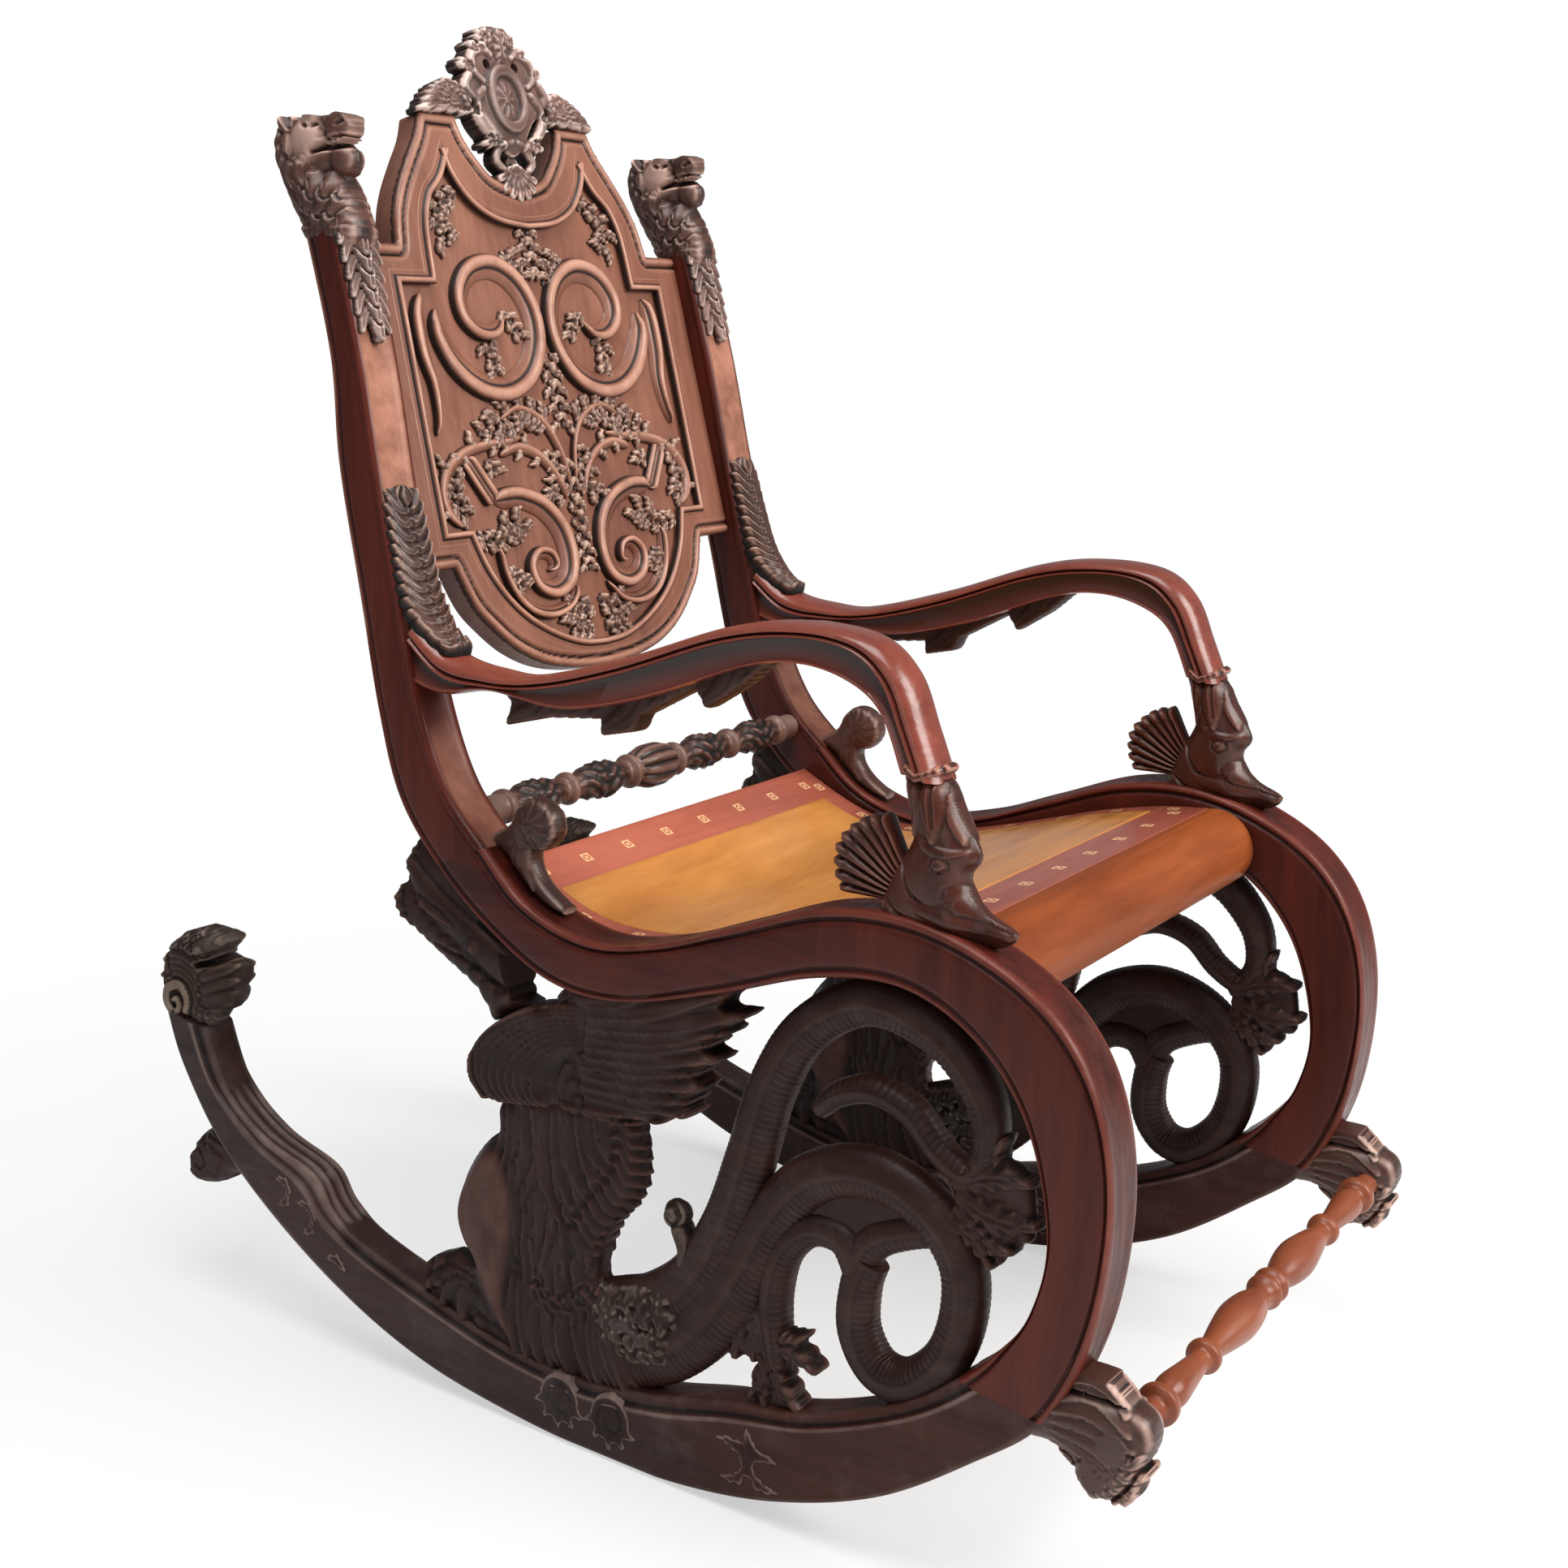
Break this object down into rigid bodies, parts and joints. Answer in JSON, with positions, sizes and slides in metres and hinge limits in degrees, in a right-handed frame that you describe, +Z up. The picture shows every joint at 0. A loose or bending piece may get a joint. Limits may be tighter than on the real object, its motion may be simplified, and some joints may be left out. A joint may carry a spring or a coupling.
{
  "type": "rocking chair",
  "caption": "carved wooden rocking chair with openwork dragon sides, scroll-carved leaning back panel, bent veneered seat, curved arms and a turned footrest bar",
  "frame": {"origin": "middle of the chair's width and depth, on the floor under the rockers", "axes": "+Z up, the chair faces -Y, +X is the sitter's left"},
  "size_m": [0.597, 1.064, 1.2087],
  "materials": {
    "banding": "red banding with small inlays",
    "carved_mahogany": "carved mahogany, dark in the hollows",
    "dark_mahogany": "dark worn mahogany",
    "gold_veneer": "figured honey veneer, polished",
    "hidden_wood": "plain unfinished wood",
    "orange_wood": "polished warm brown wood",
    "red_mahogany": "polished dark red mahogany"
  },
  "bodies": {
    "root": {"right_back_post": "red_mahogany", "left_back_post": "red_mahogany", "right_seat_rail": "red_mahogany", "left_seat_rail": "red_mahogany", "right_front_loop": "red_mahogany", "left_front_loop": "red_mahogany", "right_rocker": "dark_mahogany", "left_rocker": "dark_mahogany", "right_arm": "red_mahogany", "left_arm": "red_mahogany", "right_arm_fringe": "dark_mahogany", "left_arm_fringe": "dark_mahogany", "right_arm_leaf": "carved_mahogany", "left_arm_leaf": "carved_mahogany", "right_arm_head": "carved_mahogany", "left_arm_head": "carved_mahogany", "right_arm_fan": "dark_mahogany", "left_arm_fan": "dark_mahogany", "right_lion_head": "carved_mahogany", "left_lion_head": "carved_mahogany", "right_post_husks": "carved_mahogany", "left_post_husks": "carved_mahogany", "right_rocker_head": "dark_mahogany", "left_rocker_head": "dark_mahogany", "right_rocker_scroll": "dark_mahogany", "left_rocker_scroll": "dark_mahogany", "right_foot_bracket": "carved_mahogany", "left_foot_bracket": "carved_mahogany", "right_dragon_haunch": "dark_mahogany", "left_dragon_haunch": "dark_mahogany", "right_dragon_body": "dark_mahogany", "left_dragon_body": "dark_mahogany", "right_dragon_wing": "dark_mahogany", "left_dragon_wing": "dark_mahogany", "right_dragon_neck": "dark_mahogany", "left_dragon_neck": "dark_mahogany", "right_tail_arch": "dark_mahogany", "left_tail_arch": "dark_mahogany", "right_tail_coil": "dark_mahogany", "left_tail_coil": "dark_mahogany", "right_seat_curl": "carved_mahogany", "left_seat_curl": "carved_mahogany", "seat_board": "hidden_wood", "seat_band": "banding", "seat_field": "gold_veneer", "seat_roll": "orange_wood", "seat_battens": "hidden_wood", "back_panel": "orange_wood", "panel_border": "orange_wood", "panel_moulding": "orange_wood", "panel_scrolls": "orange_wood", "panel_sprays": "carved_mahogany", "crest": "carved_mahogany", "crest_foot": "carved_mahogany", "back_spindle": "carved_mahogany", "foot_spindle": "orange_wood", "frame_dowels": "hidden_wood"}
  },
  "joints": []
}
